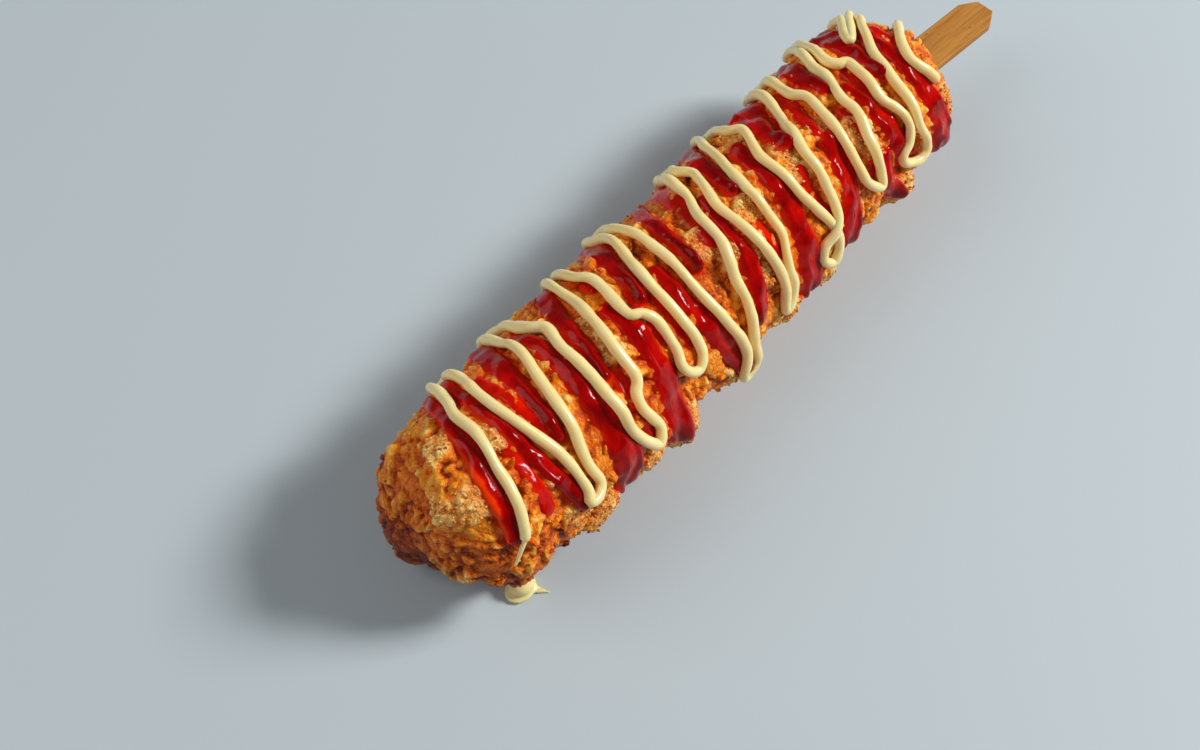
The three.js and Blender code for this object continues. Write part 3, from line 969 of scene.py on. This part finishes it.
def fused(piece, voxel, passes):
    """The piece's overlapping parts made one smooth closed skin."""
    remesh = piece.modifiers.new("remesh", "REMESH")
    remesh.mode = "VOXEL"
    remesh.voxel_size = voxel * MM
    smooth = piece.modifiers.new("smooth", "SMOOTH")
    smooth.factor = 0.5
    smooth.iterations = passes
    bpy.context.view_layer.update()
    evaluated = piece.evaluated_get(bpy.context.evaluated_depsgraph_get())
    mesh = bpy.data.meshes.new_from_object(evaluated)
    piece.modifiers.clear()
    spare = piece.data
    piece.data = mesh
    bpy.data.meshes.remove(spare)
    mesh.name = piece.name
    mesh.shade_smooth()


def dressed_drop(top_map):
    """The trail that ran down from the line's end, and the drop that fell from it."""
    route = laid_route(TRAIL_ROUTE, top_map, TRAIL_RADIUS)
    thinned = rounded_ends(len(route), TRAIL_RADIUS) * np.linspace(1, TRAIL_THINNING, len(route))
    bm = tube(route, thinned)
    ball(bm, (*DROP_CENTRE, DROP_SIZE[2] / 2), DROP_SIZE)
    ball(bm, (*PUDDLE_CENTRE, PUDDLE_SIZE[2] / 2), PUDDLE_SIZE)
    x, y = DROP_CENTRE
    for part in np.linspace(0, 1, TAIL_STEPS):
        width = TAIL_WIDTHS[0] + (TAIL_WIDTHS[1] - TAIL_WIDTHS[0]) * part
        height = TAIL_HEIGHT * (1 - TAIL_FLATTENING * part)
        along = (x + (TAIL_END[0] - x) * part, y + (TAIL_END[1] - y) * part, height / 2)
        ball(bm, along, (width, width, height))
    piece = to_object("mayonnaise_drop", bm)
    fused(piece, DROP_VOXEL, DROP_SMOOTHING)
    return piece


# ---------------------------------------------------------------- material helpers

def linear(red, green, blue):
    """A colour as seen on a screen, 0 to 255, as the shaders take it."""
    def channel(value):
        value = value / 255
        return value / 12.92 if value <= 0.04045 else ((value + 0.055) / 1.055) ** 2.4
    return (channel(red), channel(green), channel(blue), 1)


# Where the values of soft noise mostly lie.
NOISE_RANGE = (0.3, 0.7)


def make(tree, kind, inputs=None, **settings):
    """A shader node; an input takes a number, a colour or another node's output."""
    node = tree.nodes.new("ShaderNode" + kind)
    for key, value in settings.items():
        setattr(node, key, value)
    for key, value in (inputs or {}).items():
        if isinstance(value, bpy.types.NodeSocket):
            tree.links.new(value, node.inputs[key])
        else:
            node.inputs[key].default_value = value
    return node


def blend(tree, amount, first, second):
    """The first colour, with some amount of the second over it."""
    return make(tree, "Mix", {0: amount, 6: first, 7: second}, data_type="RGBA").outputs[2]


def calc(tree, operation, first, second):
    return make(tree, "Math", {0: first, 1: second}, operation=operation).outputs[0]


def weighted(tree, *parts):
    """The sum of some values, each times its own weight."""
    total = 0.0
    for value, weight in parts:
        node = make(tree, "Math", {0: value, 1: weight, 2: total}, operation="MULTIPLY_ADD")
        total = node.outputs[0]
    return total


def span(tree, value, low, high, new_low=0.0, new_high=1.0):
    inputs = {0: value, 1: low, 2: high, 3: new_low, 4: new_high}
    return make(tree, "MapRange", inputs).outputs[0]


def ramp(tree, value, stops):
    node = make(tree, "ValToRGB", {0: value})
    elements = node.color_ramp.elements
    while len(elements) < len(stops):
        elements.new(1)
    for element, (place, colour) in zip(elements, stops):
        element.position = place
        element.color = colour
    return node.outputs[0]


def attribute(tree, name):
    return make(tree, "Attribute", attribute_name=name).outputs["Fac"]


def object_place(tree):
    return make(tree, "TexCoord").outputs["Object"]


def moved(tree, place, **change):
    """The place turned or stretched, for a pattern with a direction."""
    return make(tree, "Mapping", {"Vector": place, **change}).outputs["Vector"]


def start_material(name):
    """A material with a Principled shader, and its node tree."""
    material = bpy.data.materials.new(name)
    material.use_nodes = True
    tree = material.node_tree
    return material, tree, tree.nodes["Principled BSDF"]


def finish_shader(tree, shader, colour, roughness, normal):
    tree.links.new(colour, shader.inputs["Base Color"])
    tree.links.new(roughness, shader.inputs["Roughness"])
    tree.links.new(normal, shader.inputs["Normal"])


def glow_through(shader, weight, reach_mm):
    """How much light passes under the surface, and how far each colour of it gets."""
    shader.inputs["Subsurface Weight"].default_value = weight
    shader.inputs["Subsurface Radius"].default_value = reach_mm
    shader.inputs["Subsurface Scale"].default_value = MM


def start_group(name, inputs, outputs):
    """A shader node group with named inputs and outputs."""
    group = bpy.data.node_groups.new(name, "ShaderNodeTree")
    for label, kind in inputs:
        group.interface.new_socket(label, in_out="INPUT", socket_type=kind)
    for label, kind in outputs:
        group.interface.new_socket(label, in_out="OUTPUT", socket_type=kind)
    return group, group.nodes.new("NodeGroupInput").outputs, group.nodes.new("NodeGroupOutput")


def use_group(tree, group, inputs):
    node = tree.nodes.new("ShaderNodeGroup")
    node.node_tree = group
    for key, value in inputs.items():
        if isinstance(value, bpy.types.NodeSocket):
            tree.links.new(value, node.inputs[key])
        else:
            node.inputs[key].default_value = value
    return node.outputs


def grain_group():
    """Crumbly grain: its height, and a light and dark speckle that follows the fine part of the height, so
    it paints shade into the gaps between the grains.
    """
    group, given, result = start_group(
        "fried_grain",
        [("Place", "NodeSocketVector"), ("Grains per metre", "NodeSocketFloat")],
        [("Height", "NodeSocketFloat"), ("Speckle and gap shade", "NodeSocketFloat")],
    )
    place, scale = given["Place"], given["Grains per metre"]
    cells = make(group, "TexVoronoi", {"Vector": place, "Scale": scale})
    fine = make(group, "TexNoise", {"Vector": place, "Scale": calc(group, "MULTIPLY", scale, 1.7),
                                    "Detail": 3.0, "Roughness": 0.65})
    round_top = calc(group, "SUBTRACT", 1.0, cells.outputs["Distance"])
    height = weighted(group, (round_top, 1.0), (fine.outputs["Fac"], 0.8))
    group.links.new(height, result.inputs["Height"])
    group.links.new(fine.outputs["Fac"], result.inputs["Speckle and gap shade"])
    return group


def bump(tree, height, strength, distance_mm):
    inputs = {"Height": height, "Strength": strength, "Distance": distance_mm * MM}
    return make(tree, "Bump", inputs).outputs["Normal"]


# ---------------------------------------------------------------- materials

def fried_colour(tree, tone):
    """From dark red-brown, painted shade in the hollows, to pale gold, painted light on the crests."""
    return ramp(tree, tone, [
        (0.0, linear(84, 22, 2)),
        (0.2, linear(152, 52, 4)),
        (0.42, linear(226, 100, 6)),
        (0.62, linear(250, 144, 24)),
        (0.82, linear(255, 182, 60)),
        (1.0, linear(255, 214, 120)),
    ])


def crumb_colour(tree, tone):
    """From brown, which is painted shade between the grains, to pale gold on them."""
    return ramp(tree, tone, [
        (0.0, linear(112, 38, 6)),
        (0.32, linear(188, 88, 20)),
        (0.62, linear(240, 148, 54)),
        (1.0, linear(255, 216, 130)),
    ])


def fried_finish(shader):
    """Settings that both materials of the crust share."""
    shader.inputs["Specular IOR Level"].default_value = 0.2
    glow_through(shader, 0.12, (1.0, 0.4, 0.15))


# The foot of the tip is painted darker: partly crust that browned the most, partly painted shade
# where it lies low by the floor. This is a height down a slope that faces it, in metres, from where
# the darkening starts to where it is full.
DARKENED_FOOT = (0.02, 0.08)


def foot_darkening(tree, place):
    """1 at the foot of the tip, where the colour gets painted shade and some browning, and 0 on the rest of
    the body.
    """
    axes = make(tree, "SeparateXYZ", {"Vector": place}).outputs
    return span(tree, weighted(tree, (axes["X"], -1.0), (axes["Z"], -2.0)), *DARKENED_FOOT)


def crust_material(grain):
    material, tree, shader = start_material("fried_crust")
    place = object_place(tree)
    crest = attribute(tree, "crest")
    crumbs = attribute(tree, "crumbs")
    smear = attribute(tree, "smear")
    darkened_foot = foot_darkening(tree, place)
    fine = use_group(tree, grain, {"Place": place, "Grains per metre": 950})
    patches = make(tree, "TexNoise", {"Vector": place, "Scale": 110, "Detail": 4.0}).outputs["Fac"]
    # Crests lighten the tone as painted light, hollows and gaps between grains darken it as painted shade;
    # the patches are the crust's own tone.
    tone = weighted(tree, (crest, 0.36), (patches, 0.9), (fine["Speckle and gap shade"], 0.7), (darkened_foot, -0.36))
    fried = fried_colour(tree, span(tree, tone, 0.31, 1.24))
    # On the heaps too, crests and grain gaps paint light and shade into the tone.
    tone = weighted(tree, (crest, 0.4), (fine["Speckle and gap shade"], 1.1), (darkened_foot, -0.2))
    pale = crumb_colour(tree, span(tree, tone, 0.02, 0.86))
    colour = blend(tree, crumbs, fried, pale)
    colour = blend(tree, calc(tree, "MULTIPLY", smear, 0.62), colour, linear(218, 50, 2))
    # Painted shade, with some browning, pulls the foot of the tip towards dark red-brown.
    colour = blend(tree, calc(tree, "MULTIPLY", darkened_foot, 0.45), colour, linear(92, 20, 2))
    roughness = weighted(tree, (crumbs, 0.25), (smear, -0.22), (fine["Speckle and gap shade"], 0.2))
    roughness = calc(tree, "ADD", roughness, 0.13)
    normal = bump(tree, fine["Height"], 0.9, 0.45)
    finish_shader(tree, shader, colour, roughness, normal)
    fried_finish(shader)
    return material


def crumb_material(grain):
    material, tree, shader = start_material("loose_crumb")
    place = object_place(tree)
    fine = use_group(tree, grain, {"Place": place, "Grains per metre": 1900})
    tint = attribute(tree, "tint")
    # The foot term paints shade, with some browning, on the crumbs at the tip's foot.
    # The speckle paints shade between the grains; the tint is each crumb's own tone.
    tone = weighted(tree, (tint, 0.7), (fine["Speckle and gap shade"], 0.5), (foot_darkening(tree, place), -0.5))
    colour = blend(tree, attribute(tree, "crumbs"), fried_colour(tree, span(tree, tone, 0, 1.1)),
                   crumb_colour(tree, span(tree, tone, 0.0, 0.95)))
    roughness = span(tree, fine["Speckle and gap shade"], *NOISE_RANGE, 0.4, 0.65)
    finish_shader(tree, shader, colour, roughness, bump(tree, fine["Height"], 0.4, 0.2))
    fried_finish(shader)
    return material


def ketchup_material():
    """Bright where it is thin over the crust, deep red where it is thick."""
    material, tree, shader = start_material("ketchup_gloss")
    place = object_place(tree)
    clots = make(tree, "TexNoise", {"Vector": place, "Scale": 300, "Detail": 4.0}).outputs["Fac"]
    tone = weighted(tree, (attribute(tree, "depth"), 0.56), (clots, 1.1))
    colour = ramp(tree, span(tree, tone, 0.3, 1.5), [
        (0.0, linear(236, 56, 6)),
        (0.3, linear(216, 24, 0)),
        (0.6, linear(184, 4, 0)),
        (1.0, linear(138, 0, 0)),
    ])
    roughness = span(tree, clots, *NOISE_RANGE, 0.05, 0.13)
    finish_shader(tree, shader, colour, roughness, bump(tree, clots, 0.4, 0.5))
    shader.inputs["Specular IOR Level"].default_value = 0.15
    glow_through(shader, 0.1, (1.2, 0.08, 0.04))
    return material


def mayonnaise_material():
    material, tree, shader = start_material("mayonnaise_cream")
    place = object_place(tree)
    tone = make(tree, "TexNoise", {"Vector": place, "Scale": 90, "Detail": 2.0}).outputs["Fac"]
    colour = ramp(tree, tone, [
        (0.3, linear(248, 222, 152)),
        (0.7, linear(250, 229, 166)),
    ])
    roughness = span(tree, tone, *NOISE_RANGE, 0.2, 0.3)
    finish_shader(tree, shader, colour, roughness, bump(tree, tone, 0.1, 0.3))
    glow_through(shader, 0.6, (2.2, 0.9, 0.25))
    return material


def wood_material():
    """Fine fibres along the stick, with a few small dark specks."""
    material, tree, shader = start_material("stick_wood")
    turned = moved(tree, object_place(tree), Rotation=(0, 0, -STICK_YAW))
    along = moved(tree, turned, Scale=(1, 18, 18))
    fibres = make(tree, "TexNoise", {"Vector": along, "Scale": 90, "Detail": 6.0,
                                     "Roughness": 0.7}).outputs["Fac"]
    bands = make(tree, "TexNoise", {"Vector": along, "Scale": 16, "Detail": 2.0}).outputs["Fac"]
    tone = weighted(tree, (fibres, 0.55), (bands, 0.5))
    colour = ramp(tree, tone, [
        (0.35, linear(146, 88, 30)),
        (0.55, linear(186, 126, 52)),
        (0.75, linear(206, 148, 70)),
    ])
    stretched = moved(tree, turned, Scale=(1, 3, 3))
    spots = make(tree, "TexVoronoi", {"Vector": stretched, "Scale": 130}).outputs["Distance"]
    specks = span(tree, spots, 0.04, 0.1, 0.75, 0.0)
    colour = blend(tree, specks, colour, linear(82, 40, 14))
    roughness = span(tree, fibres, *NOISE_RANGE, 0.5, 0.7)
    finish_shader(tree, shader, colour, roughness, bump(tree, fibres, 0.3, 0.15))
    shader.inputs["Specular IOR Level"].default_value = 0.25
    return material


# ---------------------------------------------------------------- stage

LENS_MM = 40
NEAREST_SEEN = 0.01
CAMERA_PLACE = (-173.9, -116.3, 314.3)
CAMERA_AZIMUTH = math.radians(-49.79)
CAMERA_ELEVATION = math.radians(58.5)
FLOOR_HALF = 3000
FLOOR_ROUGHNESS = 0.6
SKY_COLOUR = (0.86, 0.93, 1.0, 1)
SKY_STRENGTH = 0.14

# Each light's place and size in metres, and its power in watts.
LIGHTS = {
    "key": ((1.24, -1.0, 1.3), 0.52, 31),
    "glint": ((1.14, -1.12, 1.36), 0.34, 13),
    "fill": ((-1.0, 0.9, 1.2), 1.4, 11),
}


def add_camera():
    data = bpy.data.cameras.new("camera")
    data.lens = LENS_MM
    data.clip_start = NEAREST_SEEN
    camera = bpy.data.objects.new("camera", data)
    camera.location = Vector(CAMERA_PLACE) * MM
    back = Vector((math.sin(CAMERA_AZIMUTH) * math.cos(CAMERA_ELEVATION),
                   -math.cos(CAMERA_AZIMUTH) * math.cos(CAMERA_ELEVATION),
                   math.sin(CAMERA_ELEVATION)))
    camera.rotation_euler = (-back).to_track_quat("-Z", "Y").to_euler()
    bpy.context.scene.collection.objects.link(camera)
    bpy.context.scene.camera = camera


def add_light(name, place, size, power):
    """A soft square light that faces the middle of the body."""
    data = bpy.data.lights.new(name, "AREA")
    data.size = size
    data.energy = power
    light = bpy.data.objects.new(name, data)
    light.location = place
    aim = Vector((0, 0, AXIS_HEIGHT * MM)) - light.location
    light.rotation_euler = aim.to_track_quat("-Z", "Y").to_euler()
    bpy.context.scene.collection.objects.link(light)


def add_floor():
    bm = bmesh.new()
    bmesh.ops.create_grid(bm, x_segments=1, y_segments=1, size=FLOOR_HALF)
    floor = to_object("floor", bm, smooth=False)
    material, _, shader = start_material("pale_table")
    shader.inputs["Base Color"].default_value = linear(188, 198, 202)
    shader.inputs["Roughness"].default_value = FLOOR_ROUGHNESS
    floor.data.materials.append(material)


def add_world():
    world = bpy.data.worlds.new("studio")
    world.use_nodes = True
    background = world.node_tree.nodes["Background"]
    background.inputs["Color"].default_value = SKY_COLOUR
    background.inputs["Strength"].default_value = SKY_STRENGTH
    bpy.context.scene.world = world


# ---------------------------------------------------------------- the whole

add_camera()
add_floor()
add_world()
for name, setting in LIGHTS.items():
    add_light(name, *setting)
bpy.context.scene.view_settings.view_transform = "Standard"

crust_map = relief_map()
level_map = blurred(crust_map, LEVEL_BLUR)
top_map = blurred(widened(crust_map, TOP_REACH), TOP_BLUR)

crust = dressed_crust(crust_map, level_map)
crags = dressed_crags(crust_map)
crumbs = dressed_crumbs(crust_map)
ketchup = dressed_ketchup(crust_map, level_map)
mayonnaise = dressed_mayonnaise(top_map)
drop = dressed_drop(top_map)
stick = dressed_stick()

grain = grain_group()
cream = mayonnaise_material()
fried = crust_material(grain)
for piece, material, slot in (
    (crust, fried, "crust"),
    (crags, fried, "crust"),
    (crumbs, crumb_material(grain), "crust"),
    (ketchup, ketchup_material(), "ketchup"),
    (mayonnaise, cream, "mayonnaise"),
    (drop, cream, "mayonnaise"),
    (stick, wood_material(), "wood"),
):
    piece.data.materials.append(material)
    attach(piece, "root")
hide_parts("crusted_dog")
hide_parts("stick")
